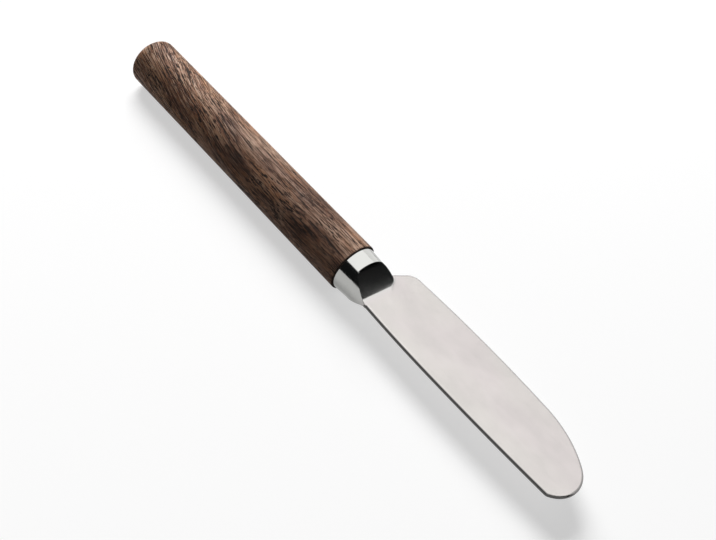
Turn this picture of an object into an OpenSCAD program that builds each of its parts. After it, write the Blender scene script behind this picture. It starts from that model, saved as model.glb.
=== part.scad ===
// Butter knife with a round wooden handle, a scooped steel bolster and a flat, round-tipped blade.
// +X runs from the butt to the tip, +Y points to the spreading edge and +Z is up off the blade's face.
// The origin is the centre of the handle's flat butt end. Lengths are in millimetres.

/* [Handle] */
// Length of the wooden handle, from the butt to the bolster
handle_len = 102; // [90:1:120]
// Diameter of the straight round handle
handle_d = 16; // [15:0.5:20]
// Rounding of the edge at the butt
butt_round = 1.4; // [0.4:0.1:3]
// Rounding of the edge at the bolster
front_round = 0.4; // [0.1:0.1:1]

/* [Bolster] */
// How far the bolster's rear rim lies inside the handle's surface
bolster_step = 0.5; // [0.2:0.1:1]
// How much the collar's radius falls from its rear rim to the scoops
collar_fall = 0.35; // [0.1:0.05:0.6]
// Length of the plain collar, from the handle to the scoops
collar_len = 5.1; // [3:0.1:8]
// Length of each scoop, from the collar to where it ends level with the blade
scoop_len = 7.8; // [6.5:0.1:9]
// Height of the small upright step at the rear of each scoop
scoop_step = 1.6; // [1:0.1:2.2]
// Radius of the scoop's hollow floor
scoop_r = 40; // [25:5:80]
// Radius with which the floor runs out onto the blade
runout_r = 4; // [2:0.5:5]
// How deep each face of the blade's root is ground away, so that the scoops run out flush with the blade
root_rebate = 0.15; // [0.1:0.05:0.25]
// Rounding of the bolster's two front corners, seen from above
bolster_corner_r = 2; // [0.5:0.1:3]

/* [Blade] */
// Length of the blade, from the end of the scoops to the tip
blade_len = 73.7; // [60:0.1:90]
// Greatest width of the blade
blade_w = 24.5; // [21:0.5:30]
// Thickness of the blade
blade_t = 1.3; // [1:0.1:2]
// How far the spine bows out past the bolster's side
spine_bow = 0.8; // [0.3:0.1:1.2]
// How far the spine draws in again before it turns into the tip
spine_fall = 0.8; // [0.3:0.1:1.2]
// How far the edge bows out between the heel and the blade's widest place
edge_bow = 0.8; // [0.3:0.1:1.2]
// Radius of the round end of the blade
tip_r = 9.8; // [8:0.2:11]
// Distance of the tip's foremost point from the handle's axis, towards the edge
tip_side = 1.2; // [-1:0.1:2]
// Radius where the spine turns into the tip
spine_corner_r = 1.8; // [1.3:0.1:4]
// Radius of the belly, where the edge sweeps round to the tip
belly_r = 31.5; // [26:0.5:45]
// Radius of the heel's corner
heel_r = 4.2; // [1.5:0.1:5]
// Lean of the heel towards the tip, in degrees
heel_lean = 25.5; // [5:0.5:30]
// Radius of the hollow between the heel and the bolster
neck_r = 1.5; // [0.5:0.1:2]
// Width of the rounded rim on each face
rim_w = 0.8; // [0.3:0.1:1.2]
// Depth of the rounded rim on each face
rim_depth = 0.45; // [0.2:0.05:0.45]

/* [Tang] */
// Length of the tang inside the handle
tang_len = 62; // [40:1:75]
// Width of the tang at the bolster
tang_w = 7; // [5:0.1:9]
// Width of the tang at its rear end
tang_end_w = 4.6; // [3.5:0.1:5]
// Radius of the notches that key the tang into its adhesive
notch_r = 0.8; // [0.4:0.1:1]
// Number of notches along each side of the tang
notch_count = 4; // [2:1:6]

/* [Fits] */
// Clearance round the blade and its tang in the bolster
seat_gap = 0.02; // [0.01:0.01:0.05]
// Clearance between the tang's corners and the wall of the bore
bore_gap = 0.3; // [0.2:0.1:0.6]
// Thickness left out round the cured adhesive, so that it fills the bore without a bite
bond_gap = 0.02; // [0.01:0.01:0.04]
// Depth of the bore past the tang's end
bore_spare = 3; // [1:0.5:5]

/* [Hidden] */
$fn = 96;
// How far a cut runs past the surface that it opens
overrun = 1;

handle_r = handle_d / 2;
rear_rim_r = handle_r - bolster_step;
cheek_r = rear_rim_r - collar_fall;
bolster_len = collar_len + scoop_len;
// The blade's root lies in a slot across the bolster, flush with the bolster's cheeks
root_t = blade_t - 2 * root_rebate;
root_half = sqrt(cheek_r * cheek_r - root_t * root_t / 4);
// Shares of the scoop's length from the collar to the blade's rimmed outline, and to the hollow at its heel
root_share = 0.03;
neck_share = 0.08;
root_x = collar_len + root_share * scoop_len;
neck_x = collar_len + neck_share * scoop_len;
// Place where the line of the heel would meet the bolster's side
heel_x = neck_x + neck_r * (1 - sin(heel_lean)) / cos(heel_lean);
tip_x = bolster_len + blade_len;
// The blade is widest at this share of its length
widest_share = 0.35;
widest_x = bolster_len + widest_share * blade_len;
spine_y = root_half + spine_bow;
edge_y = blade_w - spine_y;
bore_r = sqrt(tang_w * tang_w + root_t * root_t) / 2 + bore_gap;
bore_depth = tang_len + bore_spare;
// Half the angle of a twist drill's point
drill_half_angle = 59;
// Steps along each quarter round of the rim
rim_steps = 4;

// Direction at an angle
function ray(angle) = [cos(angle), sin(angle)];

// Angle of the direction from one point to another
function heading(from, to) = atan2(to.y - from.y, to.x - from.x);

// Radius of an arc that is level at one end and has fallen by a depth at the other
function bow_r(span, fall) = (span * span + fall * fall) / (2 * fall);

// Where two circles meet, on the left of the way from the first centre to the second
function meet(a, ra, b, rb) =
    let(
        span = norm(b - a),
        along = (span * span + ra * ra - rb * rb) / (2 * span),
        aside = sqrt(ra * ra - along * along),
        way = (b - a) / span
    )
    a + along * way + aside * [-way.y, way.x];

// How far from a point, along a direction, a circle round a centre is reached
function reach(point, way, centre, radius) =
    let(
        offset = point - centre,
        back = offset * way
    )
    sqrt(back * back - offset * offset + radius * radius) - back;

// Points along an arc, without its last one, because the next arc starts there
function arc(centre, radius, start, end, steps) =
    [for (i = [0:steps - 1]) centre + radius * ray(start + (end - start) * i / steps)];

// Radii of the spine's two flat arcs, behind and before the widest place, and of the edge's one
rear_r = bow_r(widest_x - bolster_len, spine_bow);
front_r = bow_r(tip_x - tip_r - widest_x, spine_fall);
edge_r = bow_r(widest_x - bolster_len, edge_bow);

// Centres of the blade's tangent arcs
rear_c = [widest_x, rear_r - spine_y];
front_c = [widest_x, front_r - spine_y];
edge_c = [widest_x, edge_y - edge_r];
tip_c = [tip_x - tip_r, tip_side];
corner_c = meet(front_c, front_r - spine_corner_r, tip_c, tip_r - spine_corner_r);
belly_c = meet(edge_c, edge_r - belly_r, tip_c, belly_r - tip_r);
heel_normal = 180 - heel_lean;
heel_way = ray(heel_normal - 90);
heel_foot = [heel_x, root_half] - heel_r * ray(heel_normal);
heel_c = heel_foot + reach(heel_foot, heel_way, edge_c, edge_r - heel_r) * heel_way;
neck_c = [neck_x, root_half + neck_r];

// The blade seen from above, drawn in by an inset. It starts where spine and bolster part,
// the one corner from which the whole outline is in sight, so that its faces close cleanly
function blade_outline(inset) = concat(
    arc(rear_c, rear_r - inset, heading(rear_c, [bolster_len, -root_half]), -90, 6),
    arc(front_c, front_r - inset, -90, heading(front_c, corner_c), 8),
    arc(corner_c, spine_corner_r - inset, heading(front_c, corner_c), heading(tip_c, corner_c), 8),
    arc(tip_c, tip_r - inset, heading(tip_c, corner_c), heading(belly_c, tip_c), 14),
    arc(belly_c, belly_r - inset, heading(belly_c, tip_c), heading(edge_c, belly_c), 12),
    arc(edge_c, edge_r - inset, heading(edge_c, belly_c), heading(edge_c, heel_c), 8),
    arc(heel_c, heel_r - inset, heading(edge_c, heel_c), heel_normal, 8),
    arc(neck_c, neck_r + inset, heel_normal + 180, 270, 6),
    [neck_c - [0, neck_r + inset], [root_x, root_half - inset], [root_x, inset - root_half]]
);

// A quarter round of the rim, from the face outwards: each row is a depth below the face and an inset
rim_rows = [
    for (i = [0:rim_steps])
        [rim_depth * (1 - cos(90 * i / rim_steps)), rim_w * (1 - sin(90 * i / rim_steps))]
];

// Rings of the blade from its lower face to its upper one
blade_rings = concat(
    [for (row = rim_rows) [for (p = blade_outline(row[1])) [p.x, p.y, row[0] - blade_t / 2]]],
    [for (i = [rim_steps:-1:0])
        [for (p = blade_outline(rim_rows[i][1])) [p.x, p.y, blade_t / 2 - rim_rows[i][0]]]]
);

// The scoop seen from the side: a hollow floor from the step, and a tighter arc that ends level
scoop_start = [collar_len, cheek_r - scoop_step];
runout_c = [bolster_len, blade_t / 2 + runout_r];
floor_c = meet(scoop_start, scoop_r, runout_c, scoop_r - runout_r);
scoop_profile = concat(
    arc(floor_c, scoop_r, heading(floor_c, scoop_start), heading(floor_c, runout_c), 12),
    arc(runout_c, runout_r, heading(floor_c, runout_c), -90, 8),
    [
        runout_c - [0, runout_r],
        [bolster_len + overrun, blade_t / 2],
        [bolster_len + overrun, handle_r],
        [collar_len, handle_r]
    ]
);

// A closed skin through rings that have the same number of points
module skin(rings) {
    size = len(rings[0]);
    last = len(rings) - 1;
    points = [for (ring = rings) each ring];
    lower = [for (i = [0:size - 1]) i];
    upper = [for (i = [size:-1:1]) last * size + i % size];
    sides = [
        for (k = [0:last - 1], i = [0:size - 1])
            let(a = k * size + i, b = k * size + (i + 1) % size)
            each [[a, a + size, b], [b, a + size, b + size]]
    ];
    polyhedron(points, concat([lower, upper], sides));
}

// A cylinder along +X from a place on the axis
module bar(x, length, radius) {
    translate([x, 0, 0]) rotate([0, 90, 0]) cylinder(h = length, r = radius);
}

// A round bar along +X whose end edges are rounded, each by its own radius
module round_ended_bar(length, radius, rear_round, end_round) {
    bar(rear_round, length - rear_round - end_round, radius);
    bar(0, length, radius - max(rear_round, end_round));
    for (end = [[rear_round, rear_round, 0], [length - end_round, end_round, length - end_round]]) {
        translate([end[0], 0, 0]) rotate([0, 90, 0])
            rotate_extrude() translate([radius - end[1], 0]) circle(end[1]);
        bar(end[2], end[1], radius - end[1]);
    }
}

// The drilled bore that takes the tang, smaller by a shrink all round
module bore_shape(shrink, past) {
    radius = bore_r - shrink;
    point_len = radius / tan(drill_half_angle);
    bar(handle_len - bore_depth, bore_depth + past, radius);
    translate([handle_len - bore_depth, 0, 0]) rotate([0, -90, 0])
        cylinder(h = point_len, r1 = radius, r2 = 0);
}

// The tapered and notched tang, grown by a margin all round
module tang_shape(grow, front_x) {
    steps = notch_count + 1;
    linear_extrude(height = root_t + 2 * grow, center = true) difference() {
        polygon([
            [handle_len - tang_len - grow, -tang_end_w / 2 - grow],
            [handle_len, -tang_w / 2 - grow],
            [front_x, -tang_w / 2 - grow],
            [front_x, tang_w / 2 + grow],
            [handle_len, tang_w / 2 + grow],
            [handle_len - tang_len - grow, tang_end_w / 2 + grow]
        ]);
        for (i = [1:notch_count], side = [-1, 1]) {
            half_w = tang_w / 2 + (tang_end_w - tang_w) / 2 * i / steps;
            translate([handle_len - tang_len * i / steps, side * half_w]) circle(notch_r - grow);
        }
    }
}

module handle() {
    color("saddlebrown") difference() {
        round_ended_bar(handle_len, handle_r, butt_round, front_round);
        bore_shape(0, overrun);
    }
}

module tang_adhesive() {
    color("wheat") difference() {
        bore_shape(bond_gap, 0);
        tang_shape(bond_gap, handle_len + overrun);
    }
}

// The bolster seen from above, grown by a margin all round
module bolster_plan(grow) {
    corner_x = bolster_len - bolster_corner_r;
    corner_y = cheek_r - bolster_corner_r;
    translate([0, -handle_r]) square([collar_len, handle_d]);
    translate([0, -cheek_r - grow]) square([corner_x, 2 * (cheek_r + grow)]);
    translate([0, -corner_y]) square([bolster_len + grow, 2 * corner_y]);
    for (side = [-1, 1]) translate([corner_x, side * corner_y]) circle(bolster_corner_r + grow);
}

// The hollow over one face of the root
module scoop() {
    rotate([90, 0, 0]) linear_extrude(height = handle_d, center = true) polygon(scoop_profile);
}

module bolster() {
    slot_t = root_t + 2 * seat_gap;
    hole_w = tang_w + 2 * seat_gap;
    color("lightsteelblue") translate([handle_len, 0, 0]) difference() {
        intersection() {
            rotate([0, 90, 0]) union() {
                cylinder(h = collar_len, r1 = rear_rim_r, r2 = cheek_r);
                cylinder(h = bolster_len, r = cheek_r);
            }
            linear_extrude(height = handle_d, center = true) bolster_plan(0);
        }
        scoop();
        mirror([0, 0, 1]) scoop();
        translate([collar_len, -handle_r, -slot_t / 2]) cube([scoop_len + overrun, handle_d, slot_t]);
        translate([-overrun, -hole_w / 2, -slot_t / 2]) cube([collar_len + 2 * overrun, hole_w, slot_t]);
    }
}

module blade() {
    root_start = collar_len + seat_gap;
    color("gainsboro") union() {
        translate([handle_len, 0, 0]) {
            difference() {
                skin(blade_rings);
                for (side = [0, 1]) mirror([0, 0, side]) translate([0, 0, root_t / 2])
                    linear_extrude(height = blade_t) bolster_plan(seat_gap);
            }
            translate([root_start, -root_half, -root_t / 2])
                cube([root_x + rim_w - root_start, 2 * root_half, root_t]);
        }
        tang_shape(0, handle_len + collar_len + overrun);
    }
}

handle();
tang_adhesive();
bolster();
blade();
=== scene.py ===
from math import atan2, cos, exp, pi, radians, sin, sqrt

import bmesh
import bpy
import numpy as np
from mathutils import Matrix, Vector


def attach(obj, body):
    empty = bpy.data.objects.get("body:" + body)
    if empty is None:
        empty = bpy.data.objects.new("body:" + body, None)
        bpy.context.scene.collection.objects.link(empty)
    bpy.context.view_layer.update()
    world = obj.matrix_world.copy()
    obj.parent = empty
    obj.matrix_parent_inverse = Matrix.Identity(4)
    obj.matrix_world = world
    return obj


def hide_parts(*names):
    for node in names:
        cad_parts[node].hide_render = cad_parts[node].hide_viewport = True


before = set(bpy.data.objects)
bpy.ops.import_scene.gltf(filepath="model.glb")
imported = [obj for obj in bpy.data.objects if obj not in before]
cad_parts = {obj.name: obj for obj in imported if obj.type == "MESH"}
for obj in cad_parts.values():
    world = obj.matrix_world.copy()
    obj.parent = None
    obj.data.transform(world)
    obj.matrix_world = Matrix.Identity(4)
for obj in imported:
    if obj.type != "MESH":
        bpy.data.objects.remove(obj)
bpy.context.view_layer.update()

# A butter knife that lies on a pale floor. +X runs from the butt to the tip, +Y points to the
# spreading edge and +Z is up off the blade's face. Sizes are in millimetres, which MM turns into
# Blender's metres. Those of the camera's clipping, the floor and the lamps are in metres.
MM = 0.001

# Camera at the photograph's viewing angle, fitted to the knife's outline
PHOTO_WIDTH_PX = 716
FOCAL_PX = 955.0
SENSOR_WIDTH = 36.0
CLIP_START = 0.01
CLIP_END = 20.0
CAMERA_AT = Vector((205.449, -177.775, 181.255)) * MM
CAMERA_RIGHT = Vector((0.64573, 0.69362, 0.31926))
CAMERA_UP = Vector((-0.66634, 0.30772, 0.67919))


def make_camera():
    data = bpy.data.cameras.new("camera")
    data.sensor_fit = "HORIZONTAL"
    data.sensor_width = SENSOR_WIDTH
    data.lens = FOCAL_PX / PHOTO_WIDTH_PX * SENSOR_WIDTH
    data.clip_start = CLIP_START
    data.clip_end = CLIP_END
    camera = bpy.data.objects.new("camera", data)
    bpy.context.scene.collection.objects.link(camera)
    right = CAMERA_RIGHT.normalized()
    back = right.cross(CAMERA_UP).normalized()
    up = back.cross(right)
    turn = Matrix((right, up, back)).transposed().to_4x4()
    camera.matrix_world = Matrix.Translation(CAMERA_AT) @ turn
    bpy.context.scene.camera = camera


make_camera()

# Sizes of the handle, as in the part, with those of the hidden bore rounded to a hundredth
HANDLE_LEN = 102.0
HANDLE_R = 8.0
BUTT_ROUND = 1.4
FRONT_ROUND = 0.4
BORE_R = 3.84
BORE_DEPTH = 65.0
DRILL_POINT = 2.3

# Sizes of the bolster, as in the part
BOLSTER_STEP = 0.5
COLLAR_FALL = 0.35
COLLAR_LEN = 5.1
SCOOP_LEN = 7.8
SCOOP_STEP = 1.6
SCOOP_R = 40.0
RUNOUT_R = 4.0
ROOT_REBATE = 0.15
REAR_R = HANDLE_R - BOLSTER_STEP
CHEEK_R = REAR_R - COLLAR_FALL
FLOOR_Z = CHEEK_R - SCOOP_STEP
BOLSTER_LEN = COLLAR_LEN + SCOOP_LEN

# Sizes of the blade, as in the part
BLADE_LEN = 73.7
BLADE_W = 24.5
BLADE_T = 1.3
SPINE_BOW = 0.8
SPINE_FALL = 0.8
EDGE_BOW = 0.8
TIP_R = 9.8
TIP_SIDE = 1.2
SPINE_CORNER_R = 1.8
BELLY_R = 31.5
HEEL_R = 4.2
HEEL_LEAN = 25.5
NECK_R = 1.5
RIM_W = 0.8
RIM_DEPTH = 0.45
ROOT_SHARE = 0.03
NECK_SHARE = 0.08
WIDEST_SHARE = 0.35
HALF_T = BLADE_T / 2
ROOT_T = BLADE_T - 2 * ROOT_REBATE
ROOT_HALF = sqrt(CHEEK_R ** 2 - (ROOT_T / 2) ** 2)
ROOT_X = COLLAR_LEN + ROOT_SHARE * SCOOP_LEN
NECK_X = COLLAR_LEN + NECK_SHARE * SCOOP_LEN
TIP_X = BOLSTER_LEN + BLADE_LEN
WIDEST_X = BOLSTER_LEN + WIDEST_SHARE * BLADE_LEN
SPINE_Y = ROOT_HALF + SPINE_BOW
EDGE_Y = BLADE_W - SPINE_Y


def way(degrees):
    """The direction at an angle."""
    return np.array([cos(radians(degrees)), sin(radians(degrees))])


def heading(a, b):
    """The angle of the way from a to b, in degrees."""
    return np.degrees(atan2(b[1] - a[1], b[0] - a[0]))


def meet(a, a_r, b, b_r):
    """Where two circles meet, on the left of the way from a to b."""
    apart = np.linalg.norm(b - a)
    along = (apart * apart + a_r * a_r - b_r * b_r) / (2 * apart)
    ahead = (b - a) / apart
    left = np.array([-ahead[1], ahead[0]])
    return a + along * ahead + sqrt(a_r * a_r - along * along) * left


def bow_r(length, fall):
    """Radius of an arc that is level at one end and falls by a depth over a length."""
    return (length * length + fall * fall) / (2 * fall)


def arc(centre, radius, start, end, steps):
    """Points along an arc, without its last one, because the next arc starts there."""
    return [centre + radius * way(start + (end - start) * i / steps) for i in range(steps)]


def quarter(steps):
    """The sine and cosine of evenly spaced angles from 0 to 90 degrees."""
    angles = [radians(90 * i / steps) for i in range(steps + 1)]
    return [(sin(a), cos(a)) for a in angles]


def clamp(value, low, high):
    return min(max(value, low), high)


def mesh_object(name, points, faces):
    """A piece from points in millimetres, smooth shaded, with its faces turned outwards."""
    mesh = bpy.data.meshes.new(name)
    mesh.from_pydata([tuple(np.asarray(p, float) * MM) for p in points], [], faces)
    mesh.validate()
    solid = bmesh.new()
    solid.from_mesh(mesh)
    bmesh.ops.recalc_face_normals(solid, faces=solid.faces)
    solid.to_mesh(mesh)
    solid.free()
    for face in mesh.polygons:
        face.use_smooth = True
    piece = bpy.data.objects.new(name, mesh)
    bpy.context.scene.collection.objects.link(piece)
    return piece


def join_rings(count, size):
    """Quads between successive closed rings of the same size."""
    faces = []
    for k in range(count - 1):
        for i in range(size):
            j = (i + 1) % size
            faces.append((k * size + i, k * size + j, (k + 1) * size + j, (k + 1) * size + i))
    return faces


def skin(name, points, rings):
    """A closed piece through rings of the same size, with a flat face at each end."""
    size = len(points) // rings
    faces = join_rings(rings, size)
    faces.append(tuple(range(size)))
    faces.append(tuple((rings - 1) * size + i for i in range(size)))
    return mesh_object(name, points, faces)


def lathe(name, profile, segments):
    """A turned piece about the X axis from (x, radius) points; its ends lie on the axis."""
    points = []
    for x, r in profile[1:-1]:
        for i in range(segments):
            a = 2 * pi * i / segments
            points.append((x, r * cos(a), r * sin(a)))
    rows = len(profile) - 2
    faces = join_rings(rows, segments)
    first = len(points)
    points += [(profile[0][0], 0, 0), (profile[-1][0], 0, 0)]
    last_row = (rows - 1) * segments
    for i in range(segments):
        j = (i + 1) % segments
        faces.append((first, j, i))
        faces.append((first + 1, last_row + i, last_row + j))
    return mesh_object(name, points, faces)


def join_and_crease(piece, reach, degrees):
    """Joins points within a reach of each other and shades edges past an angle as sharp."""
    solid = bmesh.new()
    solid.from_mesh(piece.data)
    bmesh.ops.remove_doubles(solid, verts=solid.verts, dist=reach * MM)
    bmesh.ops.recalc_face_normals(solid, faces=solid.faces)
    for edge in solid.edges:
        if len(edge.link_faces) == 2 and edge.calc_face_angle(0) > radians(degrees):
            edge.smooth = False
    solid.to_mesh(piece.data)
    solid.free()


# Handle: a turned dowel with eased ends and the drilled bore for the tang
HANDLE_SEGMENTS = 160
HANDLE_ROWS = 60
ROW_MARGIN = 1.5
BUTT_RINGS = (2.0, 5.0)
FRONT_RING = 5.5
NARROW_ROW = 0.05
BORE_END_BEVEL = 0.1


def make_handle():
    profile = [(0, 0)]
    profile += [(0, r) for r in BUTT_RINGS]
    profile.append((0, HANDLE_R - BUTT_ROUND - NARROW_ROW))
    for sine, cosine in quarter(12):
        profile.append((BUTT_ROUND * (1 - cosine), HANDLE_R - BUTT_ROUND * (1 - sine)))
    straight_end = HANDLE_LEN - FRONT_ROUND - ROW_MARGIN
    for x in np.linspace(BUTT_ROUND + ROW_MARGIN, straight_end, HANDLE_ROWS):
        profile.append((x, HANDLE_R))
    for sine, cosine in quarter(7):
        x = HANDLE_LEN - FRONT_ROUND * (1 - sine)
        profile.append((x, HANDLE_R - FRONT_ROUND * (1 - cosine)))
    bore_end = HANDLE_LEN - BORE_DEPTH
    profile += [
        (HANDLE_LEN, FRONT_RING),
        (HANDLE_LEN, BORE_R + NARROW_ROW),
        (HANDLE_LEN - NARROW_ROW, BORE_R),
        (bore_end, BORE_R),
        (bore_end - BORE_END_BEVEL, BORE_R - BORE_END_BEVEL),
        (bore_end - DRILL_POINT, 0)]
    return lathe("handle_wood", profile, HANDLE_SEGMENTS)


# Bolster: one section for each station along the knife, found on a smooth field of distances
REAR_EASE = 0.08
UNCUT = 9.0

# The scoop's floor has the part's own two arcs. Its stations stay a hair above the blade's face.
FLOOR_START = np.array([COLLAR_LEN, FLOOR_Z])
RUNOUT_C = np.array([BOLSTER_LEN, HALF_T + RUNOUT_R])
FLOOR_C = meet(FLOOR_START, SCOOP_R, RUNOUT_C, SCOOP_R - RUNOUT_R)
RUNOUT_LIFT = 0.001

# The scoop's step is rounded at its lip, upright between two heights and rounded at its foot.
LIP_R = 0.12
LIP_GAP = 0.04
LIP_DROP = 0.005
STEP_TOP_GAP = 0.35
STEP_FOOT_GAP = 0.3
FOOT_R = 0.25
FOOT_LIFT = 0.12
FOOT_LEN = 0.2

# The step slants by a length for each millimetre of width, which dies out towards the front.
STEP_SKEW = 0.065
SKEW_END = BOLSTER_LEN - 2.4

# The scoop's side edges are sharp as far as a place and soften from there to the front.
SHARP_BLEND = 0.0005
SOFT_BLEND = 0.8
SOFT_FROM = 9.0

# The field sinks the last stretch, at its sides and into the blade, so that nothing stands proud.
SINK_FROM = 11.8
SINK_LEN = 1.0
SIDE_SINK = 0.05
FACE_SINK = 0.008

# The front corner on the edge's side draws in, first along an arc and then along a soft slope.
NOSE_LEN = 3.6
NOSE_R = 1.5
NOSE_ARC = 1.35
NOSE_SLOPE = 0.5
NOSE_DROP = 0.7
NOSE_DROP_LEN = 0.45
NOSE_BLEND = 0.4

# A flange just under the blade's faces reaches out and carries the fillet to the heel.
FLANGE_FROM = 7.6
FLANGE_GROWTH = 2.0
FLANGE_REACH = 2.2
FLANGE_LEAST = 0.05
FLANGE_SINK = 0.004
FLANGE_INSET = 0.1
FILLET_R = 1.4
LEAST_BLEND = 0.02

# Half a section has points along each side and over the cut face, with a corner between them.
SIDE_POINTS = 45
FACE_POINTS = 56
CORNER_MOST = radians(66)

# Each point is found between two radii by halving, and points within a reach are joined.
INNER_R = 0.3
OUTER_R = 11.0
HALVINGS = 40
POINT_REACH = 0.0015
CREASE_DEGREES = 30


def collar_r(x):
    return REAR_R + (CHEEK_R - REAR_R) * min(x / COLLAR_LEN, 1.0)


def step_rows():
    """Stations from the step's lip to its foot: place, radius and the height of the cut."""
    rows = []
    for sine, cosine in quarter(5):
        x = COLLAR_LEN - LIP_R * (1 - sine)
        rows.append((x, collar_r(x), collar_r(x) - LIP_DROP - LIP_R * (1 - cosine)))
    for z in np.linspace(CHEEK_R - STEP_TOP_GAP, FLOOR_Z + STEP_FOOT_GAP, 6):
        rows.append((COLLAR_LEN, CHEEK_R, z))
    for i in range(5):
        a = radians(60 * i / 4)
        x = COLLAR_LEN + FOOT_R * (1 - cos(a))
        rows.append((x, CHEEK_R, FLOOR_Z + FOOT_LIFT - FOOT_R * sin(a)))
    return rows


def bolster_rows():
    """Stations along the bolster: place, radius and the height at which the scoop cuts it.

    A cut at the uncut height passes above the collar."""
    rows = [(0.0, REAR_R - REAR_EASE, UNCUT)]
    for x in np.linspace(REAR_EASE, COLLAR_LEN - LIP_R - LIP_GAP, 9):
        rows.append((x, collar_r(x), UNCUT))
    rows += step_rows()
    path = arc(FLOOR_C, SCOOP_R, heading(FLOOR_C, FLOOR_START), heading(FLOOR_C, RUNOUT_C), 26)
    path += arc(RUNOUT_C, RUNOUT_R, heading(FLOOR_C, RUNOUT_C), -90, 14)
    path += [RUNOUT_C - np.array([0, RUNOUT_R])]
    for x, z in path:
        if x > COLLAR_LEN + FOOT_LEN:
            rows.append((x, CHEEK_R, max(z, HALF_T + RUNOUT_LIFT)))
    return rows


def smooth_max(a, b, width):
    """The greater of two values, blended where they differ by less than a width."""
    share = np.maximum(width - np.abs(a - b), 0.0) / width
    return np.maximum(a, b) + share * share * width / 4


def draw_nose_in(body, x, r, y):
    """Draws the front corner on the edge's side in, from the start of the nose on."""
    nose = x - (BOLSTER_LEN - NOSE_LEN)
    if nose <= 0:
        return body
    turned = min(nose, NOSE_ARC)
    past = nose - turned
    drawn_in = NOSE_R - sqrt(NOSE_R ** 2 - turned ** 2) + NOSE_SLOPE * past
    drawn_in += NOSE_DROP * (1 - exp(-past / NOSE_DROP_LEN))
    return smooth_max(body, y - r + drawn_in, NOSE_BLEND)


def add_flange(body, x, r, cut, y, z):
    """Joins the body to the flange with a fillet on the edge's side."""
    reach = clamp(FLANGE_GROWTH * (x - FLANGE_FROM), 0.0, FLANGE_REACH)
    if reach <= FLANGE_LEAST:
        return body
    flange = np.maximum(np.abs(z) - HALF_T + FLANGE_SINK, y - r - reach)
    flange = np.maximum(flange, -ROOT_HALF + FLANGE_INSET - y)
    fillet = clamp(min(reach - FLANGE_LEAST, cut - HALF_T), LEAST_BLEND, FILLET_R)
    return -smooth_max(-body, -flange, np.where(y > 0, fillet, LEAST_BLEND))


def bolster_field(x, r, cut, y, z):
    """Below zero inside the bolster's section at a station, and above zero outside."""
    softness = clamp((x - SOFT_FROM) / (BOLSTER_LEN - SOFT_FROM), 0.0, 1.0) ** 2
    sunk = clamp((x - SINK_FROM) / SINK_LEN, 0.0, 1.0)
    r -= SIDE_SINK * sunk
    cut -= FACE_SINK * sunk
    edge_blend = SHARP_BLEND + (SOFT_BLEND - SHARP_BLEND) * softness
    body = smooth_max(np.hypot(y, z) - r, np.abs(z) - cut, edge_blend)
    body = draw_nose_in(body, x, r, y)
    return add_flange(body, x, r, cut, y, z)


def section(x, r, cut):
    """Upper half of the section, from the edge's side over the axis to the spine's side."""
    corner = min(np.arcsin(min(cut / r, 1.0)), CORNER_MOST)

    def ease(count, low, high):
        return low + (high - low) * (1 - np.cos(np.pi * np.arange(count) / (count - 1))) / 2

    side = ease(SIDE_POINTS, 0, corner)
    if x <= COLLAR_LEN:
        side = np.minimum(np.linspace(0, CORNER_MOST, SIDE_POINTS), corner)
    a = np.concatenate([side, ease(FACE_POINTS, corner, pi - corner)[1:], pi - side[-2::-1]])
    inside = np.full(a.shape, INNER_R)
    outside = np.full(a.shape, OUTER_R)
    for _ in range(HALVINGS):
        middle = (inside + outside) / 2
        is_out = bolster_field(x, r, cut, middle * np.cos(a), middle * np.sin(a)) > 0
        outside = np.where(is_out, middle, outside)
        inside = np.where(is_out, inside, middle)
    return inside * np.cos(a), inside * np.sin(a)


def make_bolster():
    points = []
    rows = bolster_rows()
    for x, r, cut in rows:
        ys, zs = section(x, r, cut)
        growing = clamp(x / COLLAR_LEN, 0.0, 1.0)
        fading = clamp((SKEW_END - x) / (SKEW_END - COLLAR_LEN), 0.0, 1.0)
        skew = STEP_SKEW * growing * fading
        upper = [(HANDLE_LEN + x + skew * y, y, z) for y, z in zip(ys, zs)]
        points += upper + [(px, y, -z) for px, y, z in upper[-2:0:-1]]
    bolster = skin("bolster_steel", points, len(rows))
    join_and_crease(bolster, POINT_REACH, CREASE_DEGREES)
    return bolster


# Blade: stacked outlines with a rounded rim
RIM_STEPS = 10
FACE_MARGIN = 0.12


def heel_centre(edge_c, edge_r):
    """Centre of the heel's corner, which touches the edge's arc and the leaning heel."""
    lean = radians(HEEL_LEAN)
    heel_x = NECK_X + NECK_R * (1 - sin(lean)) / cos(lean)
    foot = np.array([heel_x, ROOT_HALF]) - HEEL_R * way(180 - HEEL_LEAN)
    along = way(90 - HEEL_LEAN)
    off = foot - edge_c
    reach = sqrt((off @ along) ** 2 - off @ off + (edge_r - HEEL_R) ** 2) - off @ along
    return foot + reach * along


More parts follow.
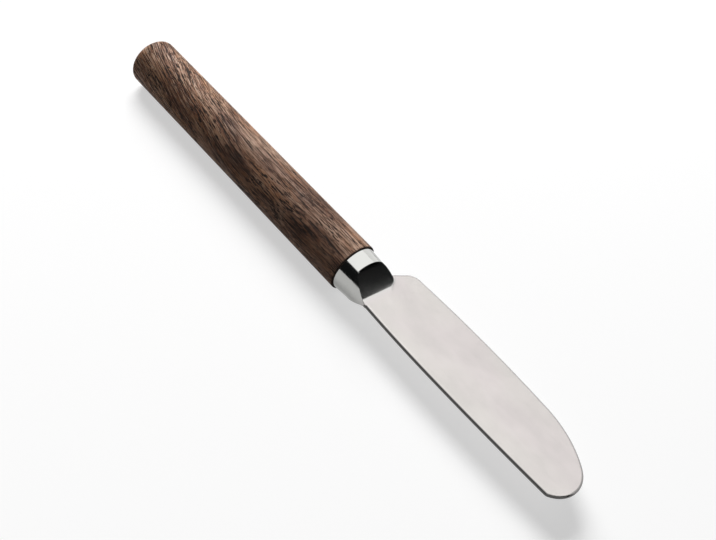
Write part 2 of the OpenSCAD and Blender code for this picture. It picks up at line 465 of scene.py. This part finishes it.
def blade_outline(inset):
    """The blade seen from above, a chain of tangent arcs, drawn in by an inset."""
    rear = bow_r(WIDEST_X - BOLSTER_LEN, SPINE_BOW)
    front = bow_r(TIP_X - TIP_R - WIDEST_X, SPINE_FALL)
    edge = bow_r(WIDEST_X - BOLSTER_LEN, EDGE_BOW)
    rear_c = np.array([WIDEST_X, rear - SPINE_Y])
    front_c = np.array([WIDEST_X, front - SPINE_Y])
    edge_c = np.array([WIDEST_X, EDGE_Y - edge])
    tip_c = np.array([TIP_X - TIP_R, TIP_SIDE])
    corner_c = meet(front_c, front - SPINE_CORNER_R, tip_c, TIP_R - SPINE_CORNER_R)
    belly_c = meet(edge_c, edge - BELLY_R, tip_c, BELLY_R - TIP_R)
    heel_c = heel_centre(edge_c, edge)
    neck_c = np.array([NECK_X, ROOT_HALF + NECK_R])
    spine_root = np.array([BOLSTER_LEN, -ROOT_HALF])
    at_front = heading(front_c, corner_c)
    at_corner = heading(tip_c, corner_c)
    at_belly = heading(belly_c, tip_c)
    at_edge = heading(edge_c, belly_c)
    at_heel = heading(edge_c, heel_c)
    points = arc(rear_c, rear - inset, heading(rear_c, spine_root), -90, 12)
    points += arc(front_c, front - inset, -90, at_front, 16)
    points += arc(corner_c, SPINE_CORNER_R - inset, at_front, at_corner, 20)
    points += arc(tip_c, TIP_R - inset, at_corner, at_belly, 48)
    points += arc(belly_c, BELLY_R - inset, at_belly, at_edge, 36)
    points += arc(edge_c, edge - inset, at_edge, at_heel, 24)
    points += arc(heel_c, HEEL_R - inset, at_heel, 180 - HEEL_LEAN, 24)
    points += arc(neck_c, NECK_R + inset, 360 - HEEL_LEAN, 270, 14)
    points += [neck_c - np.array([0, NECK_R + inset])]
    points += [np.array([ROOT_X, ROOT_HALF - inset]), np.array([ROOT_X, inset - ROOT_HALF])]
    return points


def make_blade():
    """Outlines from the lower face to the upper one, round the rim of each face."""
    rim = [(0.0, RIM_W + FACE_MARGIN)]
    rim += [(RIM_DEPTH * (1 - cosine), RIM_W * (1 - sine)) for sine, cosine in quarter(RIM_STEPS)]
    levels = [(-HALF_T + depth, inset) for depth, inset in rim]
    levels += [(HALF_T - depth, inset) for depth, inset in rim[::-1]]
    points = []
    for z, inset in levels:
        points += [(HANDLE_LEN + x, y, z) for x, y in blade_outline(inset)]
    return skin("blade_steel", points, len(levels))


class Shader:
    """A material's node tree, built a node at a time. Colours are linear."""

    def __init__(self, name):
        self.material = bpy.data.materials.new(name)
        self.material.use_nodes = True
        self.tree = self.material.node_tree
        self.tree.nodes.clear()
        output = self.tree.nodes.new("ShaderNodeOutputMaterial")
        self.bsdf = self.add("ShaderNodeBsdfPrincipled")
        self.tree.links.new(self.bsdf.outputs[0], output.inputs["Surface"])
        self.coords = self.add("ShaderNodeTexCoord").outputs["Object"]

    def put(self, socket, value):
        """A link into a socket, or a constant on it."""
        if isinstance(value, bpy.types.NodeSocket):
            self.tree.links.new(value, socket)
        else:
            socket.default_value = value

    def add(self, kind, inputs=None, **props):
        """A node with its inputs, by name or index, and its properties."""
        node = self.tree.nodes.new(kind)
        for key, value in props.items():
            setattr(node, key, value)
        for key, value in (inputs or {}).items():
            self.put(node.inputs[key], value)
        return node

    def set(self, **values):
        """The shader's own sockets, with _ for a space in a socket's name."""
        for key, value in values.items():
            self.put(self.bsdf.inputs[key.replace("_", " ")], value)

    def axes(self):
        """The three coordinates, in metres."""
        return tuple(self.add("ShaderNodeSeparateXYZ", {0: self.coords}).outputs)

    def noise(self, cycles, detail=2.0, rough=0.5, distort=0.0, shift=(0, 0, 0)):
        """Noise with a number of cycles to the millimetre along each axis, moved by a shift."""
        moved = self.add("ShaderNodeMapping", {
            "Vector": self.coords, "Location": [length * MM for length in shift]})
        scaled = self.add("ShaderNodeMapping", {
            "Vector": moved.outputs[0], "Scale": [cycle / MM for cycle in cycles]})
        return self.add("ShaderNodeTexNoise", {
            "Vector": scaled.outputs[0], "Scale": 1.0, "Detail": detail, "Roughness": rough,
            "Distortion": distort}).outputs["Fac"]

    def ramp(self, fac, stops):
        """A colour ramp of (place, colour) or (place, value) stops."""
        node = self.add("ShaderNodeValToRGB", {"Fac": fac})
        elements = node.color_ramp.elements
        while len(elements) < len(stops):
            elements.new(0.5)
        for element, (place, value) in zip(elements, stops):
            element.position = place
            element.color = (value, value, value, 1) if isinstance(value, float) else (*value, 1)
        return node.outputs["Color"]

    def span(self, fac, low, high, from_low=0.0, from_high=1.0, ease="LINEAR"):
        """Goes from low to high as the input goes over its own span, and stays level outside it."""
        return self.add("ShaderNodeMapRange", {
            "Value": fac, "From Min": from_low, "From Max": from_high,
            "To Min": low, "To Max": high}, interpolation_type=ease).outputs[0]

    def mask(self, place, start, end, low=0.0, high=1.0, ease="LINEAR"):
        """Goes from low to high as a coordinate goes from start to end, in millimetres."""
        return self.span(place, low, high, start * MM, end * MM, ease)

    def math(self, operation, a, b):
        return self.add("ShaderNodeMath", {0: a, 1: b}, operation=operation).outputs[0]

    def absolute(self, value):
        return self.add("ShaderNodeMath", {0: value}, operation="ABSOLUTE").outputs[0]

    def mix(self, fac, a, b, blend="MIX"):
        node = self.add("ShaderNodeMix", data_type="RGBA", blend_type=blend)
        self.put(node.inputs[0], fac)
        for index, colour in ((6, a), (7, b)):
            self.put(node.inputs[index], (*colour, 1) if isinstance(colour, tuple) else colour)
        return node.outputs[2]

    def bump(self, height, depth, strength, normal=None):
        """A bump with a depth in millimetres, on top of another one if that is given."""
        inputs = {"Height": height, "Distance": depth * MM, "Strength": strength}
        if normal is not None:
            inputs["Normal"] = normal
        return self.add("ShaderNodeBump", inputs).outputs["Normal"]


# Wood: the grain winds about the axis by an angle in radians, and the tint changes past the butt
WIND_FROM = -45.0
WIND_TO = 62.0
WIND_ANGLE = -2.7
TINT_FROM = 30.0
TINT_TO = 55.0
WOOD_TONES = [
    (0.36, (0.060, 0.021, 0.009)),
    (0.44, (0.150, 0.062, 0.031)),
    (0.51, (0.255, 0.128, 0.074)),
    (0.58, (0.370, 0.212, 0.134)),
    (0.66, (0.465, 0.292, 0.195))]
AMBER = (0.330, 0.130, 0.045)
PALE_LINE = (0.600, 0.400, 0.280)
PORE = (0.016, 0.007, 0.004)
# Painted shade for the seam where the wood meets the bolster
SEAM_PAINTED_SHADE = (0.010, 0.005, 0.004)


def wind_grain(look, x):
    """Turns the coordinates about the axis, more and more from the butt to past the middle."""
    wave = look.noise((0.03, 0.08, 0.08), 1.0, shift=(20, 10, 0))
    winding = look.mask(x, WIND_FROM, WIND_TO, 0.0, WIND_ANGLE, "SMOOTHSTEP")
    angle = look.math("ADD", winding, look.span(wave, -0.10, 0.10, 0.3, 0.7))
    turned = look.add("ShaderNodeVectorRotate", {"Vector": look.coords, "Angle": angle},
                      rotation_type="X_AXIS")
    look.coords = turned.outputs[0]


def ground_tone(look, fibre, near_butt):
    """Broad patches and coarse fibre, amber stains, fine strands and a warmer tint at the butt."""
    patch = look.noise((0.045, 0.16, 0.16), 3.0, 0.5, 0.2, (20, 10, 30))
    tone = look.math("ADD", look.math("MULTIPLY", fibre, 0.33), look.math("MULTIPLY", patch, 0.67))
    colour = look.ramp(tone, WOOD_TONES)
    stain = look.noise((0.04, 0.22, 0.22), shift=(50, 20, 40))
    colour = look.mix(look.ramp(stain, [(0.52, 0.0), (0.68, 0.6)]), colour, AMBER)
    strands = look.span(look.noise((0.3, 9.0, 9.0), 2.0, 0.6), 0.0, 1.0, 0.3, 0.7)
    strands = look.mix(strands, (0.78, 0.76, 0.74), (1.24, 1.24, 1.24))
    colour = look.mix(1.0, colour, strands, "MULTIPLY")
    tint = look.mix(near_butt, (1.04, 1.09, 1.16), (1.18, 1.06, 0.93))
    return look.mix(1.0, colour, tint, "MULTIPLY")


def pores_and_dark_lines(look, lines):
    """Short pores, fewer in some places, together with the darkest of the lines."""
    dashes = look.noise((0.46, 3.6, 3.6), shift=(10, 20, 30))
    room = look.noise((0.06, 0.3, 0.3), shift=(20, 0, 10))
    pores = look.ramp(dashes, [(0.55, 0.0), (0.58, 0.97)])
    pores = look.math("MULTIPLY", pores, look.span(room, 0.45, 1.0, 0.42, 0.54))
    return look.math("MAXIMUM", pores, look.ramp(lines, [(0.42, 0.95), (0.46, 0.0)]))


def wood():
    """Oiled, open-pored dark hardwood, with painted shade at the end that meets the bolster, where the
    seam's shadow falls.
    """
    look = Shader("wood")
    x = look.axes()[0]
    wind_grain(look, x)
    near_butt = look.mask(x, TINT_FROM, TINT_TO, 1.0, 0.0)
    fibre = look.noise((0.06, 0.9, 0.9), 3.0, 0.6, 0.1)
    lines = look.noise((0.15, 3.1, 3.1), 3.0, 0.6, shift=(30, 10, 0))
    colour = ground_tone(look, fibre, near_butt)
    pale = look.ramp(lines, [(0.54, 0.0), (0.60, 0.85)])
    pale = look.math("MULTIPLY", pale, look.span(near_butt, 0.35, 1.0))
    colour = look.mix(pale, colour, PALE_LINE)
    pores = pores_and_dark_lines(look, lines)
    colour = look.mix(pores, colour, PORE)
    # Painted shade: the wood darkens and loses its sheen towards the end that meets the bolster, where
    # the seam's shadow falls
    end = look.mask(x, HANDLE_LEN - 0.55, HANDLE_LEN - 0.2, 0.0, 0.85)
    colour = look.mix(end, colour, SEAM_PAINTED_SHADE)
    rough = look.math("ADD", look.span(fibre, 0.42, 0.56, 0.3, 0.7), look.math("MULTIPLY", pores, 0.3))
    rough = look.math("ADD", rough, look.math("MULTIPLY", end, 0.4))
    relief = look.math("SUBTRACT", look.math("MULTIPLY", lines, 0.5), pores)
    normal = look.bump(fibre, 0.06, 0.5, look.bump(relief, 0.08, 0.8))
    look.set(Base_Color=colour, Roughness=rough, Normal=normal, Metallic=0.0, Specular_IOR_Level=0.14)
    return look.material


# Steel: places that the bolster's finishes and painted shade go by, and the colours of both steels,
# painted shade and painted light among them
STEP_X = HANDLE_LEN + COLLAR_LEN
FRONT_X = HANDLE_LEN + BOLSTER_LEN
POLISH_DARK = (0.405, 0.405, 0.392)
POLISH_LIGHT = (0.435, 0.435, 0.420)
# Painted shade on the step's upright face and the corner at its foot
STEP_PAINTED_SHADE = (0.040, 0.040, 0.040)
RUNOUT_SATIN = (0.398, 0.377, 0.368)
SATIN_DARK = (0.378, 0.358, 0.349)
SATIN_LIGHT = (0.412, 0.388, 0.379)
# Painted shade over the blade's rim, and a painted reflection where it faces the tip and the edge
RIM_PAINTED_SHADE = (0.095, 0.093, 0.090)
RIM_PAINTED_LIGHT = (0.27, 0.262, 0.257)


def satin_places(look, x, y, height):
    """Satin on the low flange, apart from the spine's side, and on the run-out of the scoop."""
    satin = look.mask(x, STEP_X - 0.1, STEP_X + 0.9)
    satin = look.math("MULTIPLY", satin, look.mask(height, HALF_T + 0.03, HALF_T + 0.30, 1.0, 0.0))
    satin = look.math("MULTIPLY", satin, look.mask(y, -CHEEK_R + 0.05, -CHEEK_R + 0.45))
    return look.math("MAXIMUM", satin, look.mask(x, FRONT_X - 2.5, FRONT_X - 0.7))


def step_shade_places(look, x, y, height):
    """The upright face of the slanting step and the corner at its foot, where shade is painted."""
    along = look.math("SUBTRACT", x, look.math("MULTIPLY", y, STEP_SKEW))
    step = look.mask(along, STEP_X - 0.12, STEP_X - 0.04)
    step = look.math("MULTIPLY", step, look.mask(along, STEP_X + 0.3, STEP_X + 0.9, 1.0, 0.0))
    return look.math("MULTIPLY", step, look.mask(height, FLOOR_Z - 0.35, FLOOR_Z - 0.05))


def polished_steel():
    """Mirror-polished collar, painted shade on the step, and a faintly hazy scoop that runs out in
    satin.
    """
    look = Shader("polished_steel")
    cloud = look.noise((0.25, 0.25, 0.25), 3.0)
    lines = look.noise((0.15, 7.0, 7.0), 3.0, 0.6)
    x, y, z = look.axes()
    height = look.absolute(z)
    satin = satin_places(look, x, y, height)
    haze = look.mask(x, STEP_X - 0.1, STEP_X + 0.3, 0.0, 0.04)
    haze = look.math("MULTIPLY", haze, look.span(cloud, 0.7, 1.3))
    rough = look.math("ADD", look.math("MULTIPLY", satin, 0.07), haze)
    rough = look.math("ADD", look.span(lines, 0.06, 0.12, 0.3, 0.7), rough)
    colour = look.mix(cloud, POLISH_DARK, POLISH_LIGHT)
    # Painted shade on the step's face and the corner at its foot
    colour = look.mix(step_shade_places(look, x, y, height), colour, STEP_PAINTED_SHADE)
    colour = look.mix(satin, colour, RUNOUT_SATIN)
    normal = look.bump(lines, 0.0012, 0.5)
    look.set(Base_Color=colour, Roughness=rough, Normal=normal, Metallic=1.0)
    return look.material


def facing_ahead(look):
    """How far the surface, seen from above, faces the tip and the edge, from 0 to 1."""
    outward = look.add("ShaderNodeTexCoord").outputs["Normal"]
    level = look.add("ShaderNodeVectorMath", {0: outward, 1: (1, 1, 0)}, operation="MULTIPLY")
    level = look.add("ShaderNodeVectorMath", {0: level.outputs[0]}, operation="NORMALIZE")
    inputs = {0: level.outputs[0], 1: (0.64, 0.77, 0)}
    ahead = look.add("ShaderNodeVectorMath", inputs, operation="DOT_PRODUCT").outputs["Value"]
    return look.span(ahead, 0.0, 1.0, 0.35, 0.60)


def satin_steel():
    """Fine satin with faint clouds, painted shade over the rim and a painted reflection where the rim
    faces ahead.
    """
    look = Shader("satin_steel")
    cloud = look.noise((0.08, 0.11, 0.11))
    tinge = look.noise((0.05, 0.07, 0.07), 1.0, shift=(50, 30, 0))
    lines = look.noise((0.05, 7.0, 7.0), 4.0, 0.65)
    height = look.absolute(look.axes()[2])
    # Painted shade over the rim below each face
    rim = look.mask(height, HALF_T - 0.15, HALF_T - 0.03, 1.0, 0.0)
    below_face = look.mask(height, HALF_T - 0.015, HALF_T - 0.002, 1.0, 0.0)
    # Painted reflection on the rounded edge below each face where it faces ahead, which also roughens
    # it
    painted_light_rim = look.math("MULTIPLY", below_face, facing_ahead(look))
    face = look.mix(look.span(cloud, 0.0, 1.0, 0.35, 0.65), SATIN_DARK, SATIN_LIGHT)
    cast = look.mix(look.span(tinge, 0.0, 1.0, 0.35, 0.65), (1.005, 0.994, 1.0), (0.995, 1.006, 0.990))
    face = look.mix(1.0, face, cast, "MULTIPLY")
    colour = look.mix(rim, face, RIM_PAINTED_SHADE)
    colour = look.mix(painted_light_rim, colour, RIM_PAINTED_LIGHT)
    rough = look.span(lines, 0.17, 0.24, 0.3, 0.7)
    rough = look.math("ADD", rough, look.math("MULTIPLY", painted_light_rim, 0.5))
    normal = look.bump(lines, 0.002, 0.5)
    look.set(Base_Color=colour, Roughness=rough, Normal=normal, Metallic=1.0)
    return look.material


def adhesive():
    """Tan cured adhesive."""
    look = Shader("adhesive")
    cloud = look.noise((0.3, 0.3, 0.3), 4.0)
    look.set(Base_Color=look.mix(cloud, (0.42, 0.34, 0.20), (0.55, 0.46, 0.30)), Metallic=0.0,
             Roughness=look.span(cloud, 0.35, 0.55, 0.3, 0.7), Normal=look.bump(cloud, 0.05, 0.5))
    return look.material


# Pieces on the frame, where the adhesive keeps its CAD mesh
handle = make_handle()
bolster = make_bolster()
blade = make_blade()
for piece, node, slot, material in (
        (handle, "handle", "wood", wood()),
        (bolster, "bolster", "polished_steel", polished_steel()),
        (blade, "blade", "satin_steel", satin_steel())):
    piece.data.materials.append(material)
    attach(piece, "root")
    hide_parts(node)
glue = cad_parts["tang_adhesive"]
glue.data.materials.clear()
glue.data.materials.append(adhesive())

# Floor and light, in metres
FLOOR_HALF = 4.0
FLOOR_GAP = 0.0002
FLOOR_GLOW = 0.57
FLOOR_SEEN = (0.46, 0.46, 0.46)
FLOOR_BOUNCE = (0.30, 0.30, 0.30)
WORLD_COLOUR = (0.95, 0.97, 1.0, 1)
WORLD_STRENGTH = 0.012
KEY_WAY = Vector((-0.74, 0.285, 0.61))
KEY_DISTANCE = 2
KNIFE_AT = Vector((0.1, 0, 0))


def make_floor():
    """A pale floor just under the handle, which glows in views and reflections only."""
    mesh = bpy.data.meshes.new("floor")
    z = -HANDLE_R * MM - FLOOR_GAP
    corners = [(-1, -1), (1, -1), (1, 1), (-1, 1)]
    mesh.from_pydata([(x * FLOOR_HALF, y * FLOOR_HALF, z) for x, y in corners], [], [(0, 1, 2, 3)])
    floor = bpy.data.objects.new("floor", mesh)
    bpy.context.scene.collection.objects.link(floor)
    look = Shader("floor_paint")
    path = look.add("ShaderNodeLightPath").outputs
    seen = look.math("MAXIMUM", path["Is Camera Ray"], path["Is Glossy Ray"])
    seen = look.math("MAXIMUM", seen, path["Is Transmission Ray"])
    look.set(Base_Color=look.mix(seen, FLOOR_BOUNCE, FLOOR_SEEN), Roughness=0.9,
             Emission_Color=(1, 1, 1, 1), Emission_Strength=look.math("MULTIPLY", seen, FLOOR_GLOW),
             Specular_IOR_Level=0.0)
    mesh.materials.append(look.material)


def softbox(name, centre, facing, size, radiance, card=False):
    """A rectangular lamp of even radiance, facing a point; a card shows in reflections only."""
    data = bpy.data.lights.new(name, "AREA")
    data.shape = "RECTANGLE"
    data.size, data.size_y = size
    data.energy = radiance * pi * size[0] * size[1]
    lamp = bpy.data.objects.new(name, data)
    bpy.context.scene.collection.objects.link(lamp)
    centre = Vector(centre)
    lamp.location = centre
    lamp.rotation_euler = (Vector(facing) - centre).to_track_quat("-Z", "Y").to_euler()
    lamp.visible_diffuse = not card


def make_light():
    """A dim world, one soft main lamp, and cards for the steel to mirror."""
    world = bpy.data.worlds.new("studio")
    bpy.context.scene.world = world
    world.use_nodes = True
    background = world.node_tree.nodes["Background"]
    background.inputs["Color"].default_value = WORLD_COLOUR
    background.inputs["Strength"].default_value = WORLD_STRENGTH
    softbox("key", KEY_WAY * KEY_DISTANCE + KNIFE_AT, KNIFE_AT, (1.18, 1.18), radiance=14.6)
    softbox("ceiling", (-0.20, 0.15, 1.0), (-0.20, 0.15, 0), (1.7, 2.0), radiance=1.87, card=True)
    softbox("back", (-0.10, 1.15, 0.5), (-0.10, 0, 0.5), (1.9, 0.96), radiance=1.5, card=True)
    softbox("front", (1.16, -0.42, 0.70), (0.14, 0, 0), (2.1, 1.2), radiance=1.0, card=True)


make_floor()
make_light()
bpy.context.scene.view_settings.view_transform = "Standard"
